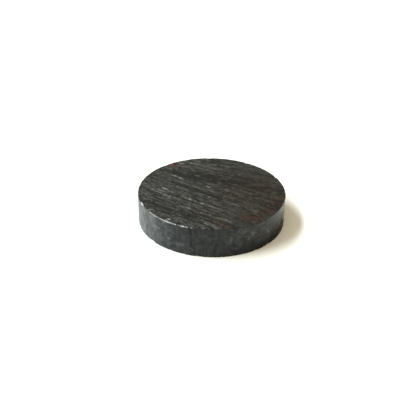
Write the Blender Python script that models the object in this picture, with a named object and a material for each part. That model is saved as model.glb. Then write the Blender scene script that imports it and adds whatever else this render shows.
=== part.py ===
"""A plain ferrite disc magnet, lying flat.

The disc is pressed from ferrite powder, sintered, and ground flat on its two
faces; the side is left as sintered, and both edges are lightly broken by
tumbling. It is one solid piece: nothing is mounted on it and nothing is inside.

Metres, +Z up. The origin is the centre of the lower face, and +Z is the disc's
axis and its direction of magnetisation.
"""

import math

import bpy

DIAMETER = 0.0246  # as sintered, within 2% of the nominal 25 mm
THICKNESS = 0.0051  # between the two ground faces, nominal 5 mm
EDGE_BREAK = 0.00015  # width of the tumbled edge on each face
EDGE_STEPS = 2  # flats across one broken edge
SIDES = 144  # facets round the disc

SMOOTH_BELOW = math.radians(20.0)  # the ground faces stay flat up to their edges

FERRITE_COLOUR = (0.055, 0.056, 0.051, 1.0)
FERRITE_ROUGHNESS = 0.55
FERRITE_METALLIC = 0.0


def clear_scene():
    for existing in list(bpy.data.objects):
        bpy.data.objects.remove(existing, do_unlink=True)


def ferrite():
    """Dark grey ceramic, dull with a faint sheen."""
    material = bpy.data.materials.new("ferrite")
    material.use_nodes = True
    shader = material.node_tree.nodes["Principled BSDF"]
    shader.inputs["Base Color"].default_value = FERRITE_COLOUR
    shader.inputs["Roughness"].default_value = FERRITE_ROUGHNESS
    shader.inputs["Metallic"].default_value = FERRITE_METALLIC
    return material


def ferrite_disc():
    """The pressed disc, standing on z = 0, with both its edges broken."""
    bpy.ops.mesh.primitive_cylinder_add(
        vertices=SIDES,
        radius=DIAMETER / 2,
        depth=THICKNESS,
        location=(0.0, 0.0, THICKNESS / 2),
    )
    disc = bpy.context.active_object
    disc.name = "ferrite_disc"
    disc.data.materials.append(ferrite())

    # The facets meet at 360 / SIDES degrees, so only the two rims are bevelled.
    broken_edge = disc.modifiers.new("broken_edge", "BEVEL")
    broken_edge.width = EDGE_BREAK
    broken_edge.segments = EDGE_STEPS
    broken_edge.limit_method = "ANGLE"
    broken_edge.angle_limit = math.radians(45.0)

    disc.data.shade_smooth()
    disc.data.set_sharp_from_angle(angle=SMOOTH_BELOW)
    return disc


clear_scene()
ferrite_disc()
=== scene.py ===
"""The looks of a plain ferrite disc magnet on a white table.

The disc is one dense mesh in place of the CAD disc. Its upper and lower faces are ground, its
side is left as sintered, and both its edges are broken and chipped. Lengths in the frame are
metres; the grinding marks, pits and chips are given in millimetres.
"""

import itertools
import math

import bpy
import numpy as np
from mathutils import Matrix, Vector


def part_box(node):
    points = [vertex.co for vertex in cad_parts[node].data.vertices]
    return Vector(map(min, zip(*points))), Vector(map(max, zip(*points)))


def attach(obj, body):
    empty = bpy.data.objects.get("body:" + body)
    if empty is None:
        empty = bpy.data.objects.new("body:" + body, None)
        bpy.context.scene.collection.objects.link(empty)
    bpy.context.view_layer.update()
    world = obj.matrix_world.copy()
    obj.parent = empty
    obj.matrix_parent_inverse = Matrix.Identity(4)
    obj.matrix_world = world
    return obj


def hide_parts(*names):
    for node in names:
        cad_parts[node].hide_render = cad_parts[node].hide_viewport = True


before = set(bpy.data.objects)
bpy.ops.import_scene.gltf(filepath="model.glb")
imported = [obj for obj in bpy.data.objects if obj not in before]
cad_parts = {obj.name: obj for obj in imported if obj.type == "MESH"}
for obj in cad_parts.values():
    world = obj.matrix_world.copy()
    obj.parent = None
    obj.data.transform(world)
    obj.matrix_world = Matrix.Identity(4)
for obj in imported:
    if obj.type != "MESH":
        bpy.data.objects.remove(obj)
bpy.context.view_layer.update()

MM = 0.001
LOW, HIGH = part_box("ferrite_disc")
RADIUS = (HIGH.x - LOW.x) / 2 / MM
HEIGHT = (HIGH.z - LOW.z) / MM

# Mesh density.
ROWS = 440  # strips across a ground face, each along the grinding marks
UPPER_STEPS = 76  # faces along one strip of the upper face
LOWER_STEPS = 26
WALL_RINGS = 15  # rings of points between the two edge zones

# The lay of the grinding marks on a face: u runs along them and v across them. Each row of
# marks has its own v0. Rows below FAN_START are parallel, and above it they turn, by up to
# FAN_SLOPE from FAN_END on. All rows have v = v0 at the u of FAN_PIVOT. The start, the end
# and the pivot are shares of the radius.
LAY_ANGLE = math.radians(-34.0)
FAN_START = 0.02
FAN_END = 0.34
FAN_SLOPE = 0.25
FAN_PIVOT = -0.8

# The edge zone, in which the edge break and the chips are cut: its width in mm, and where the
# rays from its inner corner would meet the face and the side, as shares of that width from the
# sharp edge.
EDGE_ZONE = 0.7
EDGE_STATIONS = (1.0, 0.6, 0.4, 0.27, 0.18, 0.11, 0.055, 0.02)
SHARP_ANGLE = math.radians(32.0)  # edges sharper than this are not smoothed


# ---------------------------------------------------------------- random fields


def noise(points, cell, seed):
    """A smooth random field from -1 to 1 that changes over about one cell."""
    side = 128
    lattice = np.random.default_rng(seed).uniform(-1, 1, (side, side, side))
    scaled = points / np.asarray(cell, float)
    base = np.floor(scaled).astype(int)
    part = scaled - base
    part = part * part * (3 - 2 * part)
    total = np.zeros(points.shape[:-1])
    for corner in itertools.product((0, 1), repeat=3):
        weight = np.prod(np.where(corner, part, 1 - part), axis=-1)
        index = (base + corner) % side
        total += weight * lattice[index[..., 0], index[..., 1], index[..., 2]]
    return total


def smoothstep(x, low, high):
    """0 up to low, 1 from high on, and a smooth rise between them."""
    t = np.clip((x - low) / (high - low), 0, 1)
    return t * t * (3 - 2 * t)


# ---------------------------------------------------------------- the lay of the grinding marks


def fan_slope(v0):
    """How far the row at v0 rises in v for each mm along it."""
    return FAN_SLOPE * smoothstep(v0 / RADIUS, FAN_START, FAN_END)


def lay_rows(radius):
    """For each row of a ground face, its v0 and the u of its two ends on a circle."""
    top = radius * math.hypot(1, FAN_SLOPE) + FAN_SLOPE * FAN_PIVOT * RADIUS
    phase = np.linspace(0, math.pi, ROWS + 1)
    v0 = -radius + (top + radius) * (1 - np.cos(phase)) / 2
    slope = fan_slope(v0)
    offset = v0 - slope * FAN_PIVOT * RADIUS
    stretch = 1 + slope**2
    half = np.sqrt(np.maximum(stretch * radius**2 - offset**2, 0)) / stretch
    middle = -slope * offset / stretch
    return v0, middle - half, middle + half


def row_v(v0, u):
    """The v of the row at v0 where it has come to u."""
    return v0 + fan_slope(v0) * (u - FAN_PIVOT * RADIUS)


def turned(u, v):
    """x and y of a point given along and across the lay."""
    cos, sin = math.cos(LAY_ANGLE), math.sin(LAY_ANGLE)
    return u * cos - v * sin, u * sin + v * cos


def laid(x, y):
    """The place along and across the lay of a point given by x and y."""
    cos, sin = math.cos(LAY_ANGLE), math.sin(LAY_ANGLE)
    return x * cos + y * sin, -x * sin + y * cos


# ---------------------------------------------------------------- the ground faces

# Marks that stand out on the upper face: start and end along the lay, place across it, half
# width, and shade, dark below 0 and light above it. All but the shade are shares of the radius.
UPPER_MARKS = (
    # Light dashes, from the first row down: pale scratches, the brightest of them partly painted
    # glints.
    (-0.80, -0.64, 0.035, 0.020, 2.0),
    (-0.70, -0.61, 0.042, 0.016, 3.5),
    (-0.60, -0.50, 0.040, 0.020, 5.2),
    (-0.53, -0.47, 0.028, 0.014, 4.0),
    (-0.46, -0.37, 0.032, 0.018, 3.0),
    (-0.13, -0.05, 0.055, 0.018, 4.5),
    (-0.27, -0.17, -0.030, 0.018, 2.0),
    (-0.76, -0.68, -0.040, 0.018, 1.8),
    (-0.57, -0.42, -0.065, 0.020, 2.2),
    (-0.68, -0.59, -0.110, 0.020, 1.6),
    (-0.48, -0.32, -0.185, 0.020, 2.0),
    (-0.31, -0.25, -0.205, 0.016, 1.8),
    (-0.10, -0.02, -0.175, 0.016, 4.0),
    (0.06, 0.12, -0.165, 0.018, 4.0),
    (0.26, 0.37, -0.135, 0.022, 3.4),
    (0.36, 0.56, -0.135, 0.020, 4.0),
    (0.60, 0.80, -0.115, 0.024, 2.6),
    (-0.60, -0.49, -0.335, 0.018, 5.0),
    (-0.48, -0.37, -0.345, 0.024, 2.2),
    (-0.62, -0.49, -0.398, 0.016, 4.0),
    (-0.27, -0.13, -0.370, 0.020, 2.6),
    (-0.14, -0.07, -0.370, 0.018, 4.8),
    (0.06, 0.17, -0.362, 0.018, 3.6),
    (0.19, 0.31, -0.355, 0.017, 3.2),
    (0.25, 0.42, -0.415, 0.018, 3.0),
    (-0.10, 0.16, -0.440, 0.018, 2.0),
    (-0.70, -0.50, -0.460, 0.024, 2.4),
    (-0.48, -0.33, -0.465, 0.024, 4.2),
    (-0.25, -0.13, -0.452, 0.018, 2.4),
    (-0.34, -0.22, -0.572, 0.018, 1.6),
    (-0.09, -0.02, -0.570, 0.018, 3.8),
    (-0.03, 0.09, -0.565, 0.018, 4.0),
    (0.18, 0.46, -0.555, 0.018, 3.2),
    (0.44, 0.60, -0.548, 0.017, 4.8),
    (0.57, 0.69, -0.540, 0.018, 5.0),
    (-0.76, -0.42, -0.632, 0.022, 2.2),
    (-0.30, -0.18, -0.645, 0.022, 1.8),
    (-0.12, 0.14, -0.640, 0.022, 2.2),
    (0.38, 0.64, -0.735, 0.030, 2.4),
    (-0.02, 0.54, -0.840, 0.030, 1.6),
    (0.30, 0.46, -0.905, 0.020, 3.5),
    (-0.04, 0.01, -0.930, 0.020, 4.5),
    (-0.37, -0.32, -0.870, 0.014, 3.0),
    # The pale, cloudy part above them, at the left.
    (-0.90, -0.78, 0.405, 0.035, 2.8),
    (-0.84, -0.70, 0.345, 0.030, 2.6),
    (-0.72, -0.54, 0.400, 0.045, 1.6),
    (-0.74, -0.58, 0.520, 0.030, 2.1),
    (-0.76, -0.62, 0.615, 0.030, 2.2),
    (-0.62, -0.52, 0.740, 0.026, 2.0),
    (-0.50, -0.37, 0.630, 0.030, 2.0),
    (-0.36, -0.24, 0.570, 0.026, 1.8),
    (-0.50, -0.38, 0.465, 0.026, 1.8),
    (-0.87, -0.76, 0.520, 0.030, 1.8),
    (-0.35, -0.18, 0.720, 0.035, 1.4),
    (-0.14, 0.06, 0.900, 0.040, 1.2),
    (0.02, 0.20, 0.740, 0.035, 1.1),
    (0.13, 0.33, 0.270, 0.030, 1.3),
    (0.04, 0.24, 0.120, 0.030, 1.0),
    # Dark lines and bands.
    (-0.60, -0.40, -0.148, 0.016, -2.2),
    (-0.45, 0.14, -0.130, 0.015, -2.6),
    (0.36, 0.50, -0.095, 0.016, -1.6),
    (0.06, 0.30, -0.308, 0.018, -1.8),
    (0.38, 0.50, -0.292, 0.018, -1.4),
    (-0.60, -0.50, -0.290, 0.014, -1.4),
    (-0.57, -0.50, -0.368, 0.012, -2.0),
    (-0.24, 0.30, -0.398, 0.015, -1.4),
    (-0.74, -0.46, -0.520, 0.024, -1.9),
    (-0.30, -0.08, -0.520, 0.022, -1.5),
    (0.00, 0.56, -0.515, 0.020, -1.9),
    (0.18, 0.44, -0.605, 0.020, -1.6),
    (-0.74, -0.30, -0.672, 0.020, -1.7),
    (-0.50, -0.08, -0.740, 0.060, -0.9),
    (-0.80, -0.60, 0.115, 0.040, -1.2),
    (-0.86, 0.36, 0.240, 0.090, -0.8),
    (-0.60, 0.30, 0.310, 0.070, -0.8),
    (-0.35, 0.66, 0.400, 0.065, -0.8),
    (-0.72, -0.50, 0.480, 0.020, -1.4),
    (-0.05, 0.45, 0.585, 0.024, -1.2),
    # Broad, soft differences in tone.
    (0.40, 0.85, -0.010, 0.090, -0.5),
    (-1.05, -0.42, -0.060, 0.085, 1.0),
    (-0.90, -0.28, -0.165, 0.060, 0.5),
    (-0.85, -0.25, 0.430, 0.100, 0.6),
    (-0.25, 0.30, 0.000, 0.100, -0.5),
    (-0.65, 0.40, -0.590, 0.100, -0.55),
    (-0.18, 0.20, -0.800, 0.110, -0.5),
    (0.15, 0.60, 0.450, 0.080, -0.3),
    (0.50, 0.90, 0.300, 0.060, 0.4),
    (-0.38, 0.05, 0.450, 0.080, 0.6),
    (-0.60, 0.05, -0.150, 0.050, 0.35),
    (-0.85, -0.40, 0.230, 0.070, -0.6),
    (-0.50, 0.60, 0.760, 0.150, -0.4),
    (0.25, 0.60, -0.755, 0.060, 0.7),
    (0.65, 0.98, 0.030, 0.100, -0.6),
    (0.10, 0.75, -0.245, 0.090, 0.45),
    (-1.04, -0.76, 0.280, 0.090, 1.8),
    (0.46, 0.74, -0.650, 0.070, 0.9),
    # Darker ground round the two largest pits, which widens the shade painted into them.
    (0.06, 0.26, -0.712, 0.036, -2.6),
    (-0.06, 0.07, -0.688, 0.030, -2.4),
)

# Brown film on the upper face: real stains in patches, and a painted warm reflection in its
# broad brown towards the right. Along, across, half length and half width as shares of the
# radius, and strength.
UPPER_STAINS_AND_WARM_REFLECTION = (
    (0.45, 0.20, 0.36, 0.55, 0.38),
    (0.88, 0.25, 0.15, 0.34, 0.70),
    (0.80, -0.27, 0.14, 0.15, 0.90),
    (0.60, -0.65, 0.15, 0.09, 1.00),
    (-0.90, 0.28, 0.10, 0.09, 2.00),
    (-0.10, 0.42, 0.30, 0.07, 0.25),
    (0.30, -0.35, 0.12, 0.30, 0.15),
    (0.52, 0.52, 0.25, 0.20, 0.22),
    (0.92, 0.02, 0.10, 0.10, 0.40),
)

# Pits in the upper face: along, across and radius as shares of the disc's radius.
UPPER_PITS = (
    (0.15, -0.71, 0.042),
    (0.01, -0.685, 0.034),
    (-0.17, -0.64, 0.018),
    (0.75, -0.60, 0.024),
    (-0.53, 0.28, 0.016),
    (-0.12, -0.27, 0.014),
    (0.32, -0.38, 0.014),
    (0.54, 0.23, 0.016),
    (0.05, 0.25, 0.014),
    (0.02, -0.905, 0.014),
)

MARK_DEPTH = 0.006  # mm, down for a light mark and up for a dark one
PIT_DEPTH = 0.14  # as a share of the pit's radius
# How much shade is painted into each pit.
PIT_PAINTED_SHADE = 9.0
FACE_DEPTH = 0.012  # mm, the mean of the relief below the true face

UPPER_STROKES = 520  # random grinding strokes in each face
LOWER_STROKES = 380


def relief_and_lit_side_strength(u, v):
    """How strongly the marks show: full on the left, faint on the smoother right. It also paints
    the left paler than the right, where the window light falls: painted light.
    """
    smoother = 0.52 * smoothstep((u + 0.45 * v) / RADIUS, -0.15, 0.60)
    return (1.0 - smoother) * (1.0 - 0.10 * smoothstep(v / RADIUS, 0.15, 0.45))


def film_and_warm_reflection(x, y, z):
    """How brown the ground faces are, from 0 to 2: placed above, at random below. Towards the
    right of the upper face the brown is partly a painted warm reflection.
    """
    u, v = laid(x, y)
    uneven = noise(np.stack([u, v, z], -1), (1.8, 1.3, 3.0), 90)
    amount = np.zeros_like(x)
    for along, across, length, width, strength in UPPER_STAINS_AND_WARM_REFLECTION:
        gap = ((u / RADIUS - along) / length) ** 2 + ((v / RADIUS - across) / width) ** 2
        amount += strength * np.exp(-gap)
    amount *= 1 + 0.5 * uneven
    return np.clip(np.where(z > HEIGHT / 2, amount, 0.35 + 0.5 * uneven), 0, 2)


def random_strokes(count, seed):
    """Grinding strokes: along, across, half length, half width, depth, slant and shade."""
    draw = np.random.default_rng(seed)
    return np.column_stack(
        [
            draw.uniform(-1.0, 1.0, count) * RADIUS,
            draw.uniform(-1.0, 0.85, count) * RADIUS,
            draw.uniform(0.5, 1.0, count) ** 2 * 4.0,
            draw.uniform(0.05, 0.11, count),
            draw.uniform(0.003, 0.014, count),
            draw.normal(0.0, 0.02, count),
            draw.uniform(-1.0, 1.0, count),
        ]
    )


def add_strokes(u, v0, height, shade, strokes):
    """Cuts each stroke into the rows that it crosses, and shades them."""
    order = v0[:, 0]
    for along, across, reach, width, depth, slant, tone in strokes:
        spread = 3 * width + abs(slant) * reach
        first = np.searchsorted(order, across - spread)
        last = np.searchsorted(order, across + spread)
        if first == last:
            continue
        du = u[first:last] - along
        dv = v0[first:last] - across - slant * du
        taper = np.clip(1 - (du / reach) ** 2, 0, 1)
        cut = np.exp(-((dv / width) ** 2)) * np.sqrt(taper)
        height[first:last] -= depth * cut
        shade[first:last] += tone * cut


def add_marks(u, v0, height, shade, marks, dashes):
    """Cuts and shades each mark along the row that passes through its middle."""
    rows = np.linspace(-1.0, 1.0, 2001)
    for start, end, across, half_width, tone in marks:
        middle = (start + end) / 2
        row = np.interp(across, row_v(rows * RADIUS, middle * RADIUS) / RADIUS, rows)
        along = (u / RADIUS - middle) / ((end - start) / 2)
        taper = smoothstep(1 - along**2, 0.0, 0.45)
        offset = (v0 / RADIUS - row) / (0.72 * half_width)
        cut = np.exp(-(offset**2)) * taper * (1 + 0.5 * dashes)
        height -= MARK_DEPTH * cut * np.sign(tone)
        shade += tone * cut


def add_pits(u, v, height, shade, pits):
    """Sinks each pit as a bowl with shade painted into it, a little longer along the lay than
    across it.
    """
    for along, across, size in pits:
        distance = np.hypot(u / RADIUS - along, (v / RADIUS - across) * 1.3) / size
        bowl = smoothstep(1 - distance, -0.1, 0.6)
        height -= size * RADIUS * PIT_DEPTH * bowl
        shade -= PIT_PAINTED_SHADE * bowl


def ground_face(u, v0, v, seed, strokes, marks=(), pits=()):
    """Height in mm below the true face, and shade, of every point of a ground face."""
    lay = np.stack([u, v0, np.zeros_like(u)], axis=-1)
    plain = np.stack([u, v, np.zeros_like(u)], axis=-1)
    strength = relief_and_lit_side_strength(u, v)
    dashes = noise(lay, (0.9, 0.30, 1), seed)

    height = 0.0035 * noise(lay, (5.0, 0.16, 1), seed + 1)
    height += 0.0050 * noise(lay, (2.2, 0.34, 1), seed + 2)
    height += 0.0030 * noise(plain, (0.35, 0.35, 1), seed + 3)
    banded = smoothstep(-v / RADIUS, 0.05, 0.35)
    shade = (0.35 + 0.55 * banded) * noise(lay, (9.0, 0.42, 1), seed + 9)
    shade += 0.9 * (1 - banded) * noise(lay, (8.0, 1.1, 1), seed + 10)
    shade += 1.00 * noise(lay, (5.0, 0.25, 1), seed + 4)
    shade += 0.65 * noise(lay, (2.0, 0.20, 1), seed + 5)
    shade += 0.50 * noise(plain, (0.55, 0.32, 1), seed + 6)
    shade += (0.40 - 0.25 * banded) * noise(plain, (2.6, 1.8, 1), seed + 7)

    add_strokes(u, v0, height, shade, strokes)
    add_marks(u, v0, height, shade, marks, dashes)
    height *= strength
    # The strength also lifts the shade on the left: painted light where the window light falls.
    shade = (1.06 * shade + 0.10) * strength
    add_pits(u, v, height, shade, pits)
    return np.minimum(height - FACE_DEPTH, 0.0), shade


# ---------------------------------------------------------------- the edges

# Chips in the two edges: angle round the disc in degrees, from +X towards +Y, then how far
# the chip runs along the edge, into the face and down the side, in mm, and how pale it is.
# On the upper edge from about 200 to 250 degrees, where the window light glints, that
# paleness is a painted glint.
UPPER_CHIPS = (
    (203.0, 0.68, 0.27, 0.30, 1.0),
    (212.0, 0.70, 0.17, 0.20, 0.45),
    (221.5, 1.05, 0.19, 0.17, 0.78),
    (231.0, 0.80, 0.18, 0.15, 0.8),
    (237.0, 0.60, 0.18, 0.16, 0.8),
    (241.5, 0.75, 0.17, 0.15, 0.78),
    (248.5, 0.40, 0.24, 0.19, 1.0),
    (60.5, 0.30, 0.22, 0.25, 0.0),
    (112.0, 0.45, 0.14, 0.18, 0.2),
    (301.0, 0.35, 0.10, 0.22, -0.3),
    (343.0, 0.60, 0.16, 0.20, 0.2),
)
LOWER_CHIPS = (
    (220.0, 0.80, 0.20, 0.26, 0.2),
    (239.0, 0.35, 0.15, 0.30, 0.0),
    (262.0, 0.30, 0.12, 0.16, 0.0),
    (318.0, 0.55, 0.16, 0.20, 0.0),
    (20.0, 0.70, 0.22, 0.22, 0.3),
    (95.0, 0.50, 0.18, 0.24, 0.4),
    (150.0, 0.90, 0.20, 0.18, 0.3),
)

SMALL_UPPER_CHIPS = 90  # random chips along each edge
SMALL_LOWER_CHIPS = 80


def random_chips(count, seed):
    """Small chips all round an edge, in the form of the tables above."""
    draw = np.random.default_rng(seed)
    size = 0.05 + 0.16 * draw.random(count) ** 2.2
    return [
        (angle, 1.6 * s * run, s * into, s * down, pale_and_highlight)
        for angle, s, run, into, down, pale_and_highlight in zip(
            draw.uniform(0, 360, count),
            size,
            draw.uniform(0.8, 1.8, count),
            draw.uniform(0.7, 1.2, count),
            draw.uniform(0.7, 1.3, count),
            draw.uniform(-0.4, 0.1, count),
        )
    ]


# How wide the edges are broken, in mm, and how much wider where the upper one is worn.
EDGE_BREAK = 0.060
WORN_BREAK = 0.10


def edge_rays():
    """Directions of the edge zone's rays, as the cosine and sine from outwards to upwards."""
    toward_face = [(1 - s, 1.0) for s in EDGE_STATIONS]
    toward_side = [(1.0, 1 - s) for s in reversed(EDGE_STATIONS)]
    rays = np.array(toward_face + [(1.0, 1.0)] + toward_side)
    return rays / np.linalg.norm(rays, axis=1, keepdims=True)


def upper_wear_and_highlight(angles):
    """Up to 1 along the stretch of the upper edge that is worn wider and painted pale as a
    highlight where the window light glints, and 0 elsewhere.
    """
    turn = np.degrees(angles) % 360
    worn_and_lit = smoothstep(turn, 197, 203) * (1 - 0.40 * np.exp(-(((turn - 211) / 4) ** 2)))
    fading = 0.5 * smoothstep(-turn, -266, -256) + 0.5 * smoothstep(-turn, -257, -254.5)
    return worn_and_lit * fading


def edge_reach(angles, chips, worn_and_lit, seed):
    """How far each ray goes from the edge zone's focus before it leaves the disc.

    Returns arrays of rays by angles: the reach, the reach with no break, and the paleness, which
    along the worn stretch is a painted highlight.
    """
    rays = edge_rays()
    out, up = rays[:, :1], rays[:, 1:]
    whole = EDGE_ZONE / np.maximum(out, up)
    reach = np.repeat(whole, len(angles), axis=1)

    around = np.stack(
        [RADIUS * np.cos(angles), RADIUS * np.sin(angles), np.zeros_like(angles)], axis=-1
    )
    setback = EDGE_BREAK + 0.020 * noise(around, (1.4,) * 3, seed)
    setback += 0.015 * noise(around, (0.35,) * 3, seed + 1)
    setback += worn_and_lit * (WORN_BREAK + 0.045 * noise(around, (0.55,) * 3, seed + 2))
    reach = np.minimum(reach, (2 * EDGE_ZONE - setback) / (out + up))
    streak = 0.22 * noise(around, (0.7,) * 3, seed + 3)
    # Along the worn stretch the edge is painted pale: a painted highlight.
    pale_and_highlight = np.repeat((1.25 + streak) * worn_and_lit[None, :] - 0.45, len(rays), axis=0)

    for degrees, run, into, down, paleness_and_glint in chips:
        gap = (angles - math.radians(degrees) + math.pi) % (2 * math.pi) - math.pi
        along = gap * RADIUS / run
        inside = 1 - along**2
        near = inside > 0
        # A ray meets the ellipsoid round the sharp edge: |(start + t ray) / radii|^2 = inside.
        a = (out / into) ** 2 + (up / down) ** 2
        b = -EDGE_ZONE * (out / into**2 + up / down**2)
        c = EDGE_ZONE**2 * (1 / into**2 + 1 / down**2) - inside
        root = b * b - a * c
        meets = near & (root > 0)
        met = (-b - np.sqrt(np.where(meets, root, 0))) / a
        pale_and_highlight = np.where(meets & (met < reach), paleness_and_glint, pale_and_highlight)
        reach = np.where(meets, np.minimum(reach, met), reach)
    return reach, np.repeat(whole, len(angles), axis=1), pale_and_highlight


# ---------------------------------------------------------------- the side

# Smudges on the side, with a few broad ones that are painted light and a painted reflection:
# angle in degrees, height as a share of the thickness, half length round the disc and half
# height in mm, and shade.
SIDE_MARKS = (
    (210.5, 0.86, 0.5, 0.30, 0.45),
    (217.0, 0.38, 0.6, 0.45, 0.40),
    (221.5, 0.28, 0.7, 0.35, 0.35),
    (224.5, 0.58, 0.4, 0.35, 0.30),
    (228.0, 0.60, 0.5, 0.40, 0.30),
    # A broad patch of painted light on the lit left.
    (236.0, 0.50, 2.4, 2.50, 0.16),
    (238.5, 0.45, 0.5, 0.40, 0.40),
    (246.5, 0.35, 1.1, 0.35, 0.40),
    (253.0, 0.36, 0.6, 0.35, 0.30),
    (260.0, 0.70, 0.9, 0.60, 0.20),
    (266.0, 0.75, 0.4, 0.40, 0.25),
    (284.0, 0.58, 0.5, 0.40, 0.35),
    # A broad pale patch high on the right: a painted reflection of the lit table.
    (293.0, 0.70, 3.6, 1.30, 0.55),
    (288.5, 0.26, 0.8, 0.22, 0.25),
    (295.0, 0.58, 0.7, 0.40, 0.35),
    (302.5, 0.62, 0.6, 0.50, 0.60),
    (310.0, 0.85, 1.0, 0.35, 0.15),
    (223.5, 0.33, 0.35, 0.30, -0.40),
    (241.5, 0.80, 0.6, 0.40, -0.35),
    (242.0, 0.20, 0.6, 0.20, -0.45),
    (239.5, 0.14, 0.35, 0.25, -0.50),
    # Darkening along the crack: painted shade.
    (255.2, 0.83, 0.30, 0.45, -0.60),
    (256.6, 0.38, 0.22, 0.60, -0.50),
    (270.0, 0.50, 0.8, 0.50, -0.30),
    (275.2, 0.44, 0.35, 0.30, -0.60),
    (279.5, 0.47, 0.30, 0.35, -0.40),
    (287.0, 0.45, 0.6, 0.30, -0.30),
    (297.5, 0.45, 0.8, 0.25, -0.30),
)

CRACK_ANGLE = 254.9  # degrees, where the crack meets the upper edge
CRACK_SLANT = 2.4  # degrees, how far it turns over the thickness
CRACK_WIDTH = 0.11  # mm, from its middle to where it has faded to a third
CRACK_DEPTH = 0.07  # mm
# Shade painted into the crack.
CRACK_PAINTED_SHADE = -0.4


def wall_crack(angles, z):
    """1 on the hairline crack that runs down the side from the upper edge, 0 off it."""
    turn = np.degrees(angles) % 360
    drop = 1 - z / HEIGHT
    wander = 0.4 * np.sin(9 * drop)
    off = np.radians(turn - CRACK_ANGLE - CRACK_SLANT * drop - wander) * RADIUS
    return np.exp(-((off / CRACK_WIDTH) ** 2)) * smoothstep(-drop, -0.72, -0.60)


# Dust and painted light: the side is painted paler towards the window, palest at this angle.
DUSTIEST_AND_LIT = 194.0  # degrees, where the side is palest
SMUDGE_AND_LIGHT_STRENGTH = 0.7


def wall_shade(angles, z):
    """How pale the side is: dusty and painted paler at the lit left, with painted shade low down
    at the right and in the crack, and mottled.
    """
    turn = np.degrees(angles) % 360
    fade = np.where(turn > DUSTIEST_AND_LIT, 35.0, 20.0)
    # Dust, and painted light where the side faces the window.
    dust_and_light = 0.82 * np.exp(-(((turn - DUSTIEST_AND_LIT) / fade) ** 2)) + 0.25
    # Painted shade low down at the right, where the side faces the disc's shadow on the table.
    right = smoothstep(turn, 280, 302) * smoothstep(-turn, -359.9, -341)
    far = smoothstep(turn, 312, 340)
    low_right_painted_shade = right * smoothstep(-z / HEIGHT, -0.48 - 0.18 * far, -0.12 - 0.12 * far)
    shade = dust_and_light - (0.45 + 0.15 * far) * low_right_painted_shade
    x, y = RADIUS * np.cos(angles), RADIUS * np.sin(angles)
    at = np.stack(np.broadcast_arrays(x, y, z), -1)
    mottle = noise(at, (0.75, 0.75, 0.45), 83) + 0.7 * noise(at, (0.35, 0.35, 0.22), 84)
    grainy = 0.30 * smoothstep(turn, 280, 292) + 0.25 * np.exp(-(((turn - 210) / 10) ** 2))
    grainy = grainy * (1 - 0.6 * low_right_painted_shade)
    shade = shade * (1 + 0.12 * mottle) + (0.06 + grainy) * mottle
    for degrees, height, run, tall, tone in SIDE_MARKS:
        gap = (turn - degrees + 180) % 360 - 180
        along = np.radians(gap) * RADIUS / run
        up = (z / HEIGHT - height) * HEIGHT / tall
        smudge_and_light = np.exp(-(along**2) - up**2) * (0.8 + 0.4 * mottle)
        shade += SMUDGE_AND_LIGHT_STRENGTH * tone * smudge_and_light
    return shade + CRACK_PAINTED_SHADE * wall_crack(angles, z)


# ---------------------------------------------------------------- the mesh

# The piece's material slots, in order.
GROUND, SINTERED, BROKEN = range(3)

# An edge counts as fully broken where it lies this far inside the sharp edge, in mm.
BREAK_BLEND = 0.012
BREAK_ROUGHNESS = 0.007  # mm


class Surface:
    """The mesh's points and faces, with what the materials read at each point."""

    def __init__(self):
        self.columns = ([], [], [], [])
        self.size = 0
        self.faces = []
        self.kinds = []

    def add_points(self, place, lay, shade, broken):
        """Adds an array of points in mm, and returns the array of their numbers."""
        shape = place.shape[:-1]
        first = self.size
        self.size += math.prod(shape)
        for column, values in zip(self.columns[:2], (place, lay)):
            column.append(values.reshape(-1, 3))
        for column, values in zip(self.columns[2:], (shade, broken)):
            column.append(np.broadcast_to(values, shape).ravel())
        return np.arange(first, self.size).reshape(shape)

    def add_quads(self, corners, kinds):
        """Adds faces from an array of their corners, and the material slot of each."""
        corners = corners.reshape(-1, 4)
        self.faces.extend(corners.tolist())
        self.kinds.extend(np.broadcast_to(kinds, len(corners)).tolist())

    def joined(self):
        """The place, lay, shade and broken share of every point."""
        return [np.concatenate(column) for column in self.columns]


def edge_rings(angles, upper, chips, seed):
    """The rings of an edge zone, from the face to the side.

    Stacks their radius, height, share broken away and shade, the shade with the painted
    highlight along the worn stretch.
    """
    rays = edge_rays()
    worn_and_lit = upper_wear_and_highlight(angles) if upper else np.zeros_like(angles)
    reach, whole, pale_and_highlight = edge_reach(angles, chips, worn_and_lit, seed)
    r = RADIUS - EDGE_ZONE + reach * rays[:, :1]
    q = reach * rays[:, 1:] - EDGE_ZONE
    cut = np.clip((whole - reach) / BREAK_BLEND, 0, 1)
    z = HEIGHT + q if upper else -q
    at = np.stack([r * np.cos(angles), r * np.sin(angles), z], -1)
    grain = noise(at, (0.10,) * 3, seed + 20) * cut
    grain += 1.5 * noise(at, (0.24,) * 3, seed + 21) * cut
    rough = BREAK_ROUGHNESS * grain
    r = r + rough * rays[:, :1]
    z = np.clip(z + (rough if upper else -rough) * rays[:, 1:], 0, HEIGHT)
    return np.stack([r, z, cut, pale_and_highlight + 0.15 * grain])


def uneven_radius(angles, r, z):
    """The radius with the small unevenness of the sintered side, and its crack, cut in."""
    at = np.stack([r * np.cos(angles), r * np.sin(angles), z], -1)
    side = smoothstep(r, RADIUS - 0.12, RADIUS - 0.02)
    uneven = 0.020 * noise(at, (3.0, 3.0, 2.0), 80) + 0.007 * noise(at, (0.5,) * 3, 81)
    uneven += 0.004 * noise(at, (0.16, 0.16, 1.4), 82) - 0.030
    uneven -= CRACK_DEPTH * wall_crack(angles, z)
    return r + uneven * side


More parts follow.
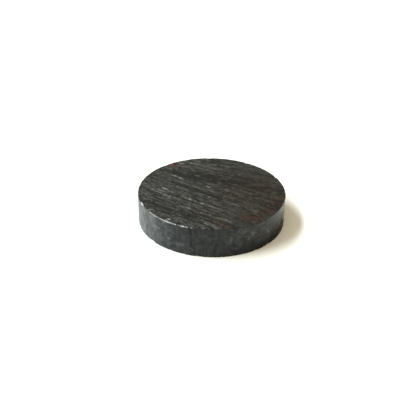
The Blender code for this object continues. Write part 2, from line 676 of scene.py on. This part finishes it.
def add_side(surface, angles, ring_v0):
    """Adds the side and the two edge zones, and returns the numbers of their points by ring."""
    upper_chips = list(UPPER_CHIPS) + random_chips(SMALL_UPPER_CHIPS, 5)
    lower_chips = list(LOWER_CHIPS) + random_chips(SMALL_LOWER_CHIPS, 6)
    upper_edge = edge_rings(angles, True, upper_chips, 40)
    lower_edge = edge_rings(angles, False, lower_chips, 60)
    wall = np.zeros((len(upper_edge), WALL_RINGS, len(angles)))
    wall[0] = RADIUS
    wall[1] = np.linspace(HEIGHT - EDGE_ZONE, EDGE_ZONE, WALL_RINGS + 2)[1:-1, None]
    r, z, cut, pale_and_highlight = np.concatenate([upper_edge, wall, lower_edge[:, ::-1]], axis=1)
    shade = pale_and_highlight * cut + wall_shade(angles, z) * (1 - cut)

    r = uneven_radius(angles, r, z)
    x, y = r * np.cos(angles), r * np.sin(angles)
    along, _ = laid(x, y)
    across = ring_v0 * (r / (RADIUS - EDGE_ZONE))
    rings = surface.add_points(
        np.stack([x, y, z], -1), np.stack([along, across, z], -1), shade, cut
    )

    above, below = rings[:-1], rings[1:]
    quads = [above, below, np.roll(below, -1, axis=1), np.roll(above, -1, axis=1)]
    middle_cut = (cut[:-1] + cut[1:]) / 2
    middle_cut = (middle_cut + np.roll(middle_cut, -1, axis=1)) / 2
    on_face = np.zeros(middle_cut.shape, bool)
    on_face[: len(EDGE_STATIONS)] = True
    on_face[-len(EDGE_STATIONS) :] = True
    kinds = np.where(middle_cut > 0.5, BROKEN, np.where(on_face, GROUND, SINTERED))
    surface.add_quads(np.stack(quads, -1), kinds.ravel())
    return rings


def add_ground_face(surface, rows, ring, steps, upper, seed, strokes, marks=(), pits=()):
    """Fills a ring with a ground face's strips, and returns the relief and shade at the ring."""
    v0, left, right = rows
    share = np.linspace(0, 1, steps + 1)
    u = left[:, None] + (right - left)[:, None] * share
    row = np.repeat(v0[:, None], steps + 1, axis=1)
    v = row_v(row, u)
    depth, tone = ground_face(u, row, v, seed, strokes, marks, pits)
    x, y = turned(u, v)
    z = HEIGHT + depth if upper else -depth
    inside = (slice(1, -1), slice(1, -1))
    grid = np.empty(u.shape, int)
    grid[inside] = surface.add_points(
        np.stack([x, y, z], -1)[inside], np.stack([u, row, z], -1)[inside], tone[inside], 0.0
    )
    grid[:, -1] = ring[: ROWS + 1]
    grid[:, 0] = ring[-np.arange(ROWS + 1)]
    grid[0] = ring[0]
    grid[-1] = ring[ROWS]

    winding = 1 if upper else -1
    # In the first and last strips some corners fall together.
    for low, high in ((grid[0], grid[1]), (grid[-2], grid[-1])):
        for corners in zip(low[:-1], low[1:], high[1:], high[:-1]):
            corners = list(dict.fromkeys(int(corner) for corner in corners))
            if len(corners) > 2:
                surface.faces.append(corners[::winding])
                surface.kinds.append(GROUND)
    low, high = grid[1:-2], grid[2:-1]
    quads = np.stack([low[:, :-1], low[:, 1:], high[:, 1:], high[:, :-1]], -1)
    surface.add_quads(quads[..., ::winding], GROUND)
    return [np.concatenate([value[:-1, -1], value[:0:-1, 0]]) for value in (depth, tone)]


def disc_mesh():
    """The whole closed surface, in metres, with its attributes and material slots."""
    rows = lay_rows(RADIUS - EDGE_ZONE)
    v0, left, right = rows
    # The ring of points that a face shares with its edge zone: up the right ends of the
    # rows and down their left ends.
    ring_u = np.concatenate([right[:-1], left[:0:-1]])
    ring_v0 = np.concatenate([v0[:-1], v0[:0:-1]])
    ring_x, ring_y = turned(ring_u, row_v(ring_v0, ring_u))
    angles = np.arctan2(ring_y, ring_x)

    surface = Surface()
    rings = add_side(surface, angles, ring_v0)
    upper_strokes = random_strokes(UPPER_STROKES, 7)
    lower_strokes = random_strokes(LOWER_STROKES, 8)
    upper_relief = add_ground_face(
        surface, rows, rings[0], UPPER_STEPS, True, 100, upper_strokes, UPPER_MARKS, UPPER_PITS
    )
    lower_relief = add_ground_face(
        surface, rows, rings[-1], LOWER_STEPS, False, 200, lower_strokes
    )

    place, lay, shade, broken = surface.joined()
    # The face part of each edge zone takes the height and shade of the row that ends there.
    for face_rings, (depth, tone), sign in (
        (rings[: len(EDGE_STATIONS)], upper_relief, 1),
        (rings[-len(EDGE_STATIONS) :], lower_relief, -1),
    ):
        for ring in face_rings:
            keep = 1 - broken[ring]
            place[ring, 2] += sign * depth * keep
            shade[ring] = shade[ring] * (1 - keep) + tone * keep

    mesh = bpy.data.meshes.new("magnet_surface")
    mesh.from_pydata((place * MM).tolist(), [], surface.faces)
    mesh.polygons.foreach_set("material_index", np.array(surface.kinds, np.int32))
    # Relief strength, which also carries the painted light on the left of the faces.
    relief_and_lit_side = relief_and_lit_side_strength(*laid(place[:, 0], place[:, 1]))
    for name, values in (("shade", shade), ("relief_and_lit_side", relief_and_lit_side), ("stain_and_warm_reflection", film_and_warm_reflection(*place.T))):
        attribute = mesh.attributes.new(name, "FLOAT", "POINT")
        attribute.data.foreach_set("value", values.astype(np.float32))
    attribute = mesh.attributes.new("lay", "FLOAT_VECTOR", "POINT")
    attribute.data.foreach_set("vector", lay.astype(np.float32).ravel())
    mesh.validate()
    mesh.shade_smooth()
    mesh.set_sharp_from_angle(angle=SHARP_ANGLE)
    return mesh


# ---------------------------------------------------------------- materials


class Nodes:
    """A material's node tree, with short calls for the nodes used here."""

    def __init__(self, name):
        self.material = bpy.data.materials.new(name)
        self.material.use_nodes = True
        self.tree = self.material.node_tree
        self.shader = self.tree.nodes["Principled BSDF"]

    def link(self, out, into):
        if isinstance(out, (int, float, tuple)):
            into.default_value = out
        else:
            self.tree.links.new(out, into)

    def add(self, kind):
        return self.tree.nodes.new(kind)

    def attribute(self, name, output="Fac"):
        node = self.add("ShaderNodeAttribute")
        node.attribute_name = name
        return node.outputs[output]

    def object_position(self):
        return self.add("ShaderNodeTexCoord").outputs["Object"]

    def position_mm(self):
        return self.scaled(self.object_position(), (1 / MM,) * 3)

    def vector(self, operation, a, b):
        node = self.add("ShaderNodeVectorMath")
        node.operation = operation
        self.link(a, node.inputs[0])
        self.link(b, node.inputs[1])
        return node.outputs[0]

    def scaled(self, vector, scale):
        return self.vector("MULTIPLY", vector, scale)

    def noise(self, vector, scale=1.0, detail=2.0, rough=0.5, distortion=0.0):
        node = self.add("ShaderNodeTexNoise")
        self.link(vector, node.inputs["Vector"])
        node.inputs["Scale"].default_value = scale
        node.inputs["Detail"].default_value = detail
        node.inputs["Roughness"].default_value = rough
        node.inputs["Distortion"].default_value = distortion
        return node.outputs["Fac"]

    def voronoi(self, vector, scale):
        node = self.add("ShaderNodeTexVoronoi")
        self.link(vector, node.inputs["Vector"])
        node.inputs["Scale"].default_value = scale
        return node.outputs["Distance"]

    def math(self, operation, a, b=0.0, c=0.0):
        node = self.add("ShaderNodeMath")
        node.operation = operation
        for value, into in zip((a, b, c), node.inputs):
            self.link(value, into)
        return node.outputs[0]

    def remap(self, value, low, high, to_low, to_high):
        node = self.add("ShaderNodeMapRange")
        self.link(value, node.inputs["Value"])
        for name, number in (
            ("From Min", low),
            ("From Max", high),
            ("To Min", to_low),
            ("To Max", to_high),
        ):
            node.inputs[name].default_value = number
        return node.outputs["Result"]

    def ramp(self, value, stops):
        node = self.add("ShaderNodeValToRGB")
        self.link(value, node.inputs["Fac"])
        elements = node.color_ramp.elements
        while len(elements) < len(stops):
            elements.new(0.5)
        for element, (position, colour) in zip(elements, stops):
            element.position = position
            element.color = (*colour, 1.0)
        return node.outputs["Color"]

    def mix(self, factor, a, b):
        node = self.add("ShaderNodeMix")
        node.data_type = "RGBA"
        self.link(factor, node.inputs[0])
        for value, into in ((a, node.inputs[6]), (b, node.inputs[7])):
            if isinstance(value, tuple):
                into.default_value = (*value, 1.0)
            else:
                self.link(value, into)
        return node.outputs[2]

    def bump(self, height, distance_mm):
        node = self.add("ShaderNodeBump")
        node.inputs["Distance"].default_value = distance_mm * MM
        self.link(height, node.inputs["Height"])
        return node.outputs["Normal"]


FERRITE_IOR = 1.35
SIDE_IOR = 1.27  # the side is the least glossy


def ground_ferrite():
    """The ground faces: near-black ceramic with pale, broken streaks along the lay."""
    n = Nodes("ground_ferrite")
    lay = n.attribute("lay", "Vector")
    shade = n.attribute("shade")
    fine = n.noise(n.scaled(lay, (0.5, 5.0, 1.0)), detail=3.0, rough=0.6)
    dashes = n.noise(n.scaled(lay, (1.3, 3.6, 1.0)), detail=2.0)
    grain = n.noise(n.scaled(lay, (2.8, 3.6, 1.0)), detail=3.0, rough=0.7)
    relief_and_lit_side = n.attribute("relief_and_lit_side")
    marks = n.math("MULTIPLY", n.math("SUBTRACT", grain, 0.5), 9.5)
    marks = n.math("MULTIPLY", marks, relief_and_lit_side)
    marks = n.math("MULTIPLY_ADD", n.math("SUBTRACT", fine, 0.5), 8.0, marks)
    marks = n.math("MULTIPLY_ADD", n.math("SUBTRACT", dashes, 0.5), 9.0, marks)
    # Scaled by the relief and lit-side strength, the marks show strongest on the lit left:
    # partly painted light.
    blend = n.math("MULTIPLY_ADD", marks, relief_and_lit_side, shade)
    tone = n.remap(blend, -1.6, 9.0, 0.0, 1.0)
    # The top of the ramp is reached by the brightest marks, which are partly painted glints.
    grey = n.ramp(
        tone,
        (
            (0.0, (0.0005, 0.0005, 0.0004)),
            (0.08, (0.0038, 0.0036, 0.0029)),
            (0.151, (0.0152, 0.0147, 0.0125)),
            (0.245, (0.0295, 0.0287, 0.0252)),
            (0.34, (0.0455, 0.0443, 0.0395)),
            (0.49, (0.0750, 0.0732, 0.0662)),
            (0.72, (0.1480, 0.1450, 0.1340)),
            (1.0, (0.3150, 0.3100, 0.2920)),
        ),
    )
    # The film, partly a painted warm reflection, takes green and blue away. Its strength runs up
    # to 2, and the ramp up to 1.
    film_and_reflection_takes = n.ramp(
        n.math("MULTIPLY", n.attribute("stain_and_warm_reflection"), 0.5),
        (
            (0.0, (0.0, 0.0, 0.0)),
            (0.225, (0.0020, 0.0050, 0.0072)),
            (0.5, (0.0005, 0.0105, 0.0125)),
            (1.0, (0.0005, 0.0240, 0.0280)),
        ),
    )
    stained = n.vector("MAXIMUM", n.vector("SUBTRACT", grey, film_and_reflection_takes), (0.0, 0.0, 0.0))
    n.link(stained, n.shader.inputs["Base Color"])
    n.link(n.remap(tone, 0.0, 0.6, 0.50, 0.40), n.shader.inputs["Roughness"])
    n.shader.inputs["IOR"].default_value = FERRITE_IOR
    n.link(n.bump(n.math("ADD", grain, fine), 0.020), n.shader.inputs["Normal"])
    return n.material


def sintered_ferrite():
    """The side, as it left the kiln: mottled, a little bluer than the faces, and dull where
    it is dusty or darkest."""
    n = Nodes("sintered_ferrite")
    at = n.position_mm()
    cloud = n.noise(at, scale=0.55, detail=4.0, rough=0.62, distortion=0.4)
    mottle = n.noise(at, scale=2.2, detail=3.0, rough=0.6)
    drag = n.noise(n.scaled(at, (3.2, 3.2, 0.35)), detail=2.0)
    grain = n.noise(at, scale=11.0, detail=3.0, rough=0.7)
    blend = n.math("MULTIPLY_ADD", cloud, 0.6, 0.20)
    blend = n.math("MULTIPLY_ADD", mottle, 0.5, blend)
    blend = n.math("MULTIPLY_ADD", drag, 0.4, blend)
    blend = n.math("MULTIPLY_ADD", grain, 0.45, blend)
    blend = n.math("MULTIPLY_ADD", n.attribute("shade"), 0.75, blend)
    tone = n.remap(blend, 0.75, 2.0, 0.0, 1.0)
    colour = n.ramp(
        tone,
        (
            (0.0, (0.0005, 0.0005, 0.0005)),
            (0.20, (0.0028, 0.0034, 0.0036)),
            (0.40, (0.0085, 0.0098, 0.0102)),
            (0.65, (0.0260, 0.0285, 0.0290)),
            (1.0, (0.0950, 0.0990, 0.1000)),
        ),
    )
    n.link(colour, n.shader.inputs["Base Color"])
    dusty = n.math("MULTIPLY_ADD", mottle, 0.4, n.attribute("shade"))
    dust_dull = n.remap(dusty, 0.3, 1.0, 0.08, 0.48)
    dark_dull = n.remap(dusty, -0.15, 0.20, 0.72, 0.08)
    n.link(n.math("MAXIMUM", dust_dull, dark_dull), n.shader.inputs["Roughness"])
    n.shader.inputs["IOR"].default_value = SIDE_IOR
    height = n.math("MULTIPLY_ADD", grain, 0.3, mottle)
    n.link(n.bump(height, 0.010), n.shader.inputs["Normal"])
    return n.material


def broken_ferrite():
    """The edge breaks and chips: bare, granular, glinting, with a painted highlight and painted
    glints where the shade is pale.
    """
    n = Nodes("broken_ferrite")
    at = n.position_mm()
    grain = n.noise(at, scale=9.0, detail=4.0, rough=0.7)
    facets = n.voronoi(at, scale=14.0)
    tone = n.math("MULTIPLY_ADD", facets, 0.35, grain)
    # The shade carries the painted highlight of the worn upper edge and the chips' painted
    # glints.
    pale_and_highlight = n.math("ADD", n.attribute("shade"), tone)
    colour = n.ramp(
        n.remap(pale_and_highlight, 0.5, 1.8, 0.0, 1.0),
        (
            (0.0, (0.003, 0.003, 0.003)),
            (0.3, (0.020, 0.020, 0.020)),
            (0.6, (0.100, 0.101, 0.100)),
            (1.0, (0.340, 0.340, 0.335)),
        ),
    )
    n.link(colour, n.shader.inputs["Base Color"])
    n.link(n.remap(grain, 0.3, 0.7, 0.24, 0.38), n.shader.inputs["Roughness"])
    n.shader.inputs["IOR"].default_value = FERRITE_IOR
    n.link(n.bump(tone, 0.016), n.shader.inputs["Normal"])
    return n.material


def magnet():
    """The disc, with its materials in the order of its slots."""
    piece = bpy.data.objects.new("magnet_surface", disc_mesh())
    bpy.context.scene.collection.objects.link(piece)
    for material in (ground_ferrite(), sintered_ferrite(), broken_ferrite()):
        piece.data.materials.append(material)
    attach(piece, "root")
    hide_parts("ferrite_disc")


# ---------------------------------------------------------------- stage, light and camera

TABLE_RADIUS = 0.6  # metres
TABLE_GAP = 0.00001  # metres, so that the table doesn't coincide with the lower face


def floor():
    """A wide white table top."""
    bpy.ops.mesh.primitive_circle_add(vertices=96, radius=TABLE_RADIUS, fill_type="NGON")
    table = bpy.context.active_object
    table.name = "table_top"
    table.location.z = -TABLE_GAP
    n = Nodes("white_table")
    soft = n.noise(n.object_position(), scale=3.0, detail=2.0)
    colour = n.mix(
        n.remap(soft, 0.3, 0.7, 0.0, 1.0), (0.87, 0.835, 0.765), (0.88, 0.845, 0.775)
    )
    n.link(colour, n.shader.inputs["Base Color"])
    n.shader.inputs["Roughness"].default_value = 0.9
    n.shader.inputs["Specular IOR Level"].default_value = 0.1
    table.data.materials.append(n.material)


def toward(azimuth, elevation):
    """The direction at an azimuth from +X towards +Y and an elevation, both in degrees."""
    azimuth, elevation = math.radians(azimuth), math.radians(elevation)
    flat = math.cos(elevation)
    return Vector((flat * math.cos(azimuth), flat * math.sin(azimuth), math.sin(elevation)))


def add_light(data, place, colour):
    """Puts a light at a place and aims it at the origin."""
    data.color = colour
    light = bpy.data.objects.new(data.name, data)
    light.location = place
    light.rotation_euler = place.to_track_quat("Z", "Y").to_euler()
    bpy.context.scene.collection.objects.link(light)


# The window's size in degrees as seen from the disc, where its middle is, how far away it
# is in metres, and its light.
WINDOW_WIDTH = 50.0
WINDOW_HEIGHT = 11.0
WINDOW_AZIMUTH = 174.0
WINDOW_ELEVATION = 55.0
WINDOW_DISTANCE = 2.0
WINDOW_STRENGTH = 4.5
WINDOW_COLOUR = (0.85, 1.0, 1.12)

GLOW_AZIMUTH = 193.0
GLOW_ELEVATION = 9.0
GLOW_SPREAD = 25.0  # degrees
GLOW_STRENGTH = 2.0
GLOW_COLOUR = (0.88, 1.0, 1.06)


def window():
    """A wide, low window: a long soft edge to the shadow's sides, a shorter one to its tip."""
    data = bpy.data.lights.new("window", "AREA")
    data.shape = "RECTANGLE"
    data.size = 2 * WINDOW_DISTANCE * math.tan(math.radians(WINDOW_WIDTH / 2))
    data.size_y = 2 * WINDOW_DISTANCE * math.tan(math.radians(WINDOW_HEIGHT / 2))
    data.energy = WINDOW_STRENGTH * math.pi * WINDOW_DISTANCE**2
    add_light(data, WINDOW_DISTANCE * toward(WINDOW_AZIMUTH, WINDOW_ELEVATION), WINDOW_COLOUR)


def window_glow():
    """Light from low on the window side."""
    data = bpy.data.lights.new("window_glow", "SUN")
    data.energy = GLOW_STRENGTH
    data.angle = math.radians(GLOW_SPREAD)
    add_light(data, toward(GLOW_AZIMUTH, GLOW_ELEVATION), GLOW_COLOUR)


# The room's light on the camera's side and behind the disc, and its tint on the right.
ROOM_FRONT = (0.90, 0.84, 0.69)
ROOM_BACK = (0.47, 0.455, 0.38)
ROOM_RIGHT_TINT = (0.98, 0.93, 0.86)
PLAIN = (1.0, 1.0, 1.0)
BACKDROP_STRENGTH = 1.1


def room_light():
    """The room's own light: dimmer and more neutral behind the disc than in front of it.

    Past the edge of the table the camera sees a plain white backdrop instead.
    """
    world = bpy.data.worlds.new("room")
    world.use_nodes = True
    tree = world.node_tree
    tree.nodes.clear()
    background = tree.nodes.new("ShaderNodeBackground")
    output = tree.nodes.new("ShaderNodeOutputWorld")
    direction = tree.nodes.new("ShaderNodeTexCoord").outputs["Generated"]
    split = tree.nodes.new("ShaderNodeSeparateXYZ")
    tree.links.new(direction, split.inputs[0])

    def ramp_along(axis, low, high, first, last):
        share = tree.nodes.new("ShaderNodeMapRange")
        share.inputs["From Min"].default_value = low
        share.inputs["From Max"].default_value = high
        tree.links.new(split.outputs[axis], share.inputs["Value"])
        node = tree.nodes.new("ShaderNodeValToRGB")
        for element, colour in zip(node.color_ramp.elements, (first, last)):
            element.color = (*colour, 1.0)
        tree.links.new(share.outputs["Result"], node.inputs["Fac"])
        return node.outputs["Color"]

    depth = ramp_along("Y", -0.2, 0.8, ROOM_FRONT, ROOM_BACK)
    across = ramp_along("X", -0.5, 0.5, PLAIN, ROOM_RIGHT_TINT)
    mixed = tree.nodes.new("ShaderNodeVectorMath")
    mixed.operation = "MULTIPLY"
    tree.links.new(depth, mixed.inputs[0])
    tree.links.new(across, mixed.inputs[1])
    tree.links.new(mixed.outputs[0], background.inputs["Color"])
    backdrop = tree.nodes.new("ShaderNodeBackground")
    backdrop.inputs["Color"].default_value = (*PLAIN, 1.0)
    backdrop.inputs["Strength"].default_value = BACKDROP_STRENGTH
    seen = tree.nodes.new("ShaderNodeMixShader")
    straight = tree.nodes.new("ShaderNodeLightPath").outputs["Is Camera Ray"]
    tree.links.new(straight, seen.inputs["Fac"])
    tree.links.new(background.outputs[0], seen.inputs[1])
    tree.links.new(backdrop.outputs[0], seen.inputs[2])
    tree.links.new(seen.outputs[0], output.inputs["Surface"])
    bpy.context.scene.world = world


CAMERA_ELEVATION = math.radians(29.9)
CAMERA_ROLL = math.radians(1.3)
CAMERA_DISTANCE = 0.11846  # metres, as are the next two
AIM_RIGHT = -0.000595  # where the camera points, from the middle of the disc
AIM_UP = -0.000705
LENS = 60.85  # mm, as is the sensor
SENSOR = 36.0


def camera():
    """Looks down at the disc from 30 degrees, very slightly tilted."""
    forward = Vector((0, math.cos(CAMERA_ELEVATION), -math.sin(CAMERA_ELEVATION)))
    level = Vector((1, 0, 0))
    upright = level.cross(forward)
    right = math.cos(CAMERA_ROLL) * level + math.sin(CAMERA_ROLL) * upright
    up = -math.sin(CAMERA_ROLL) * level + math.cos(CAMERA_ROLL) * upright
    middle = Vector((0, 0, HEIGHT * MM / 2))
    place = middle - forward * CAMERA_DISTANCE
    target = middle + right * AIM_RIGHT + up * AIM_UP
    forward = (target - place).normalized()
    right = (right - forward * right.dot(forward)).normalized()
    up = right.cross(forward)
    data = bpy.data.cameras.new("camera")
    data.lens = LENS
    data.sensor_width = SENSOR
    data.clip_start = 0.005
    data.clip_end = 20.0
    eye = bpy.data.objects.new("camera", data)
    eye.matrix_world = Matrix(
        (
            (right.x, up.x, -forward.x, place.x),
            (right.y, up.y, -forward.y, place.y),
            (right.z, up.z, -forward.z, place.z),
            (0, 0, 0, 1),
        )
    )
    bpy.context.scene.collection.objects.link(eye)
    bpy.context.scene.camera = eye


magnet()
floor()
window()
window_glow()
room_light()
camera()
bpy.context.scene.view_settings.view_transform = "Standard"
